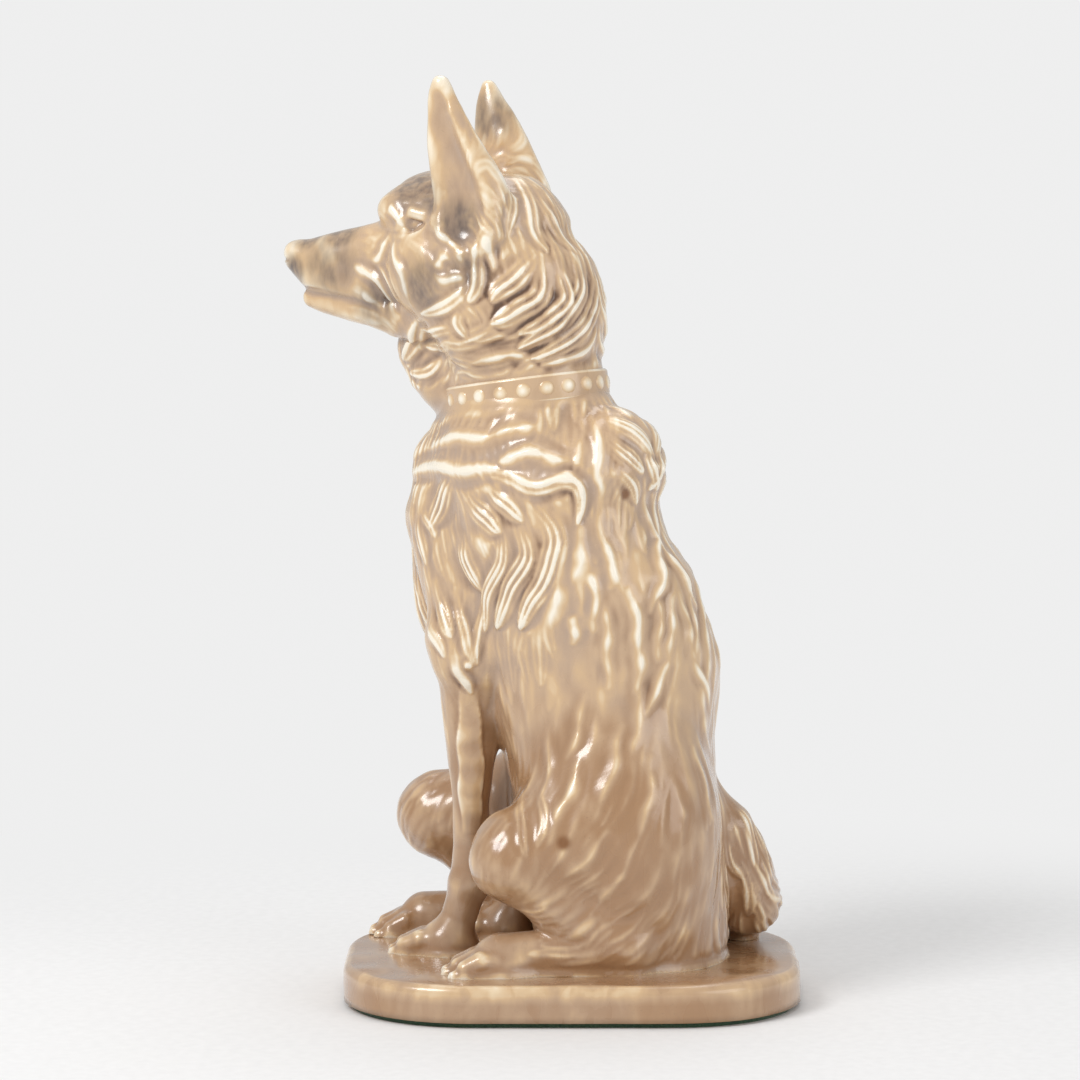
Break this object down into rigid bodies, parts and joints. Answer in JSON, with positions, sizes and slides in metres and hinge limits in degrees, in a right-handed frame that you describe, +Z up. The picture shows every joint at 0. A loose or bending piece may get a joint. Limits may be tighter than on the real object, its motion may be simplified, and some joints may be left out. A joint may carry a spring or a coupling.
{
  "type": "ceramic dog figurine",
  "caption": "Seated shepherd-dog figurine in tan breaking glaze, head turned, with erect ears, a studded collar and a rounded plinth, for standing on a shelf.",
  "frame": {"origin": "centre of the underside of the felt pad", "axes": "+Z up, the pelvis and hind legs face -Y, the dog's left side is towards +X"},
  "size_m": [0.098, 0.1437, 0.254],
  "materials": {
    "glaze": "glossy tan glaze that breaks to cream on raised edges",
    "felt": "short-pile felt"
  },
  "bodies": {
    "root": {"plinth": "glaze", "felt_pad": "felt", "torso_shell": "glaze", "head_shell": "glaze", "left_ear": "glaze", "right_ear": "glaze", "collar_band": "glaze", "collar_studs": "glaze", "left_foreleg": "glaze", "right_foreleg": "glaze", "left_fore_paw": "glaze", "right_fore_paw": "glaze", "left_hind_leg": "glaze", "right_hind_leg": "glaze", "left_hind_paw": "glaze", "right_hind_paw": "glaze", "tail": "glaze"}
  },
  "joints": []
}
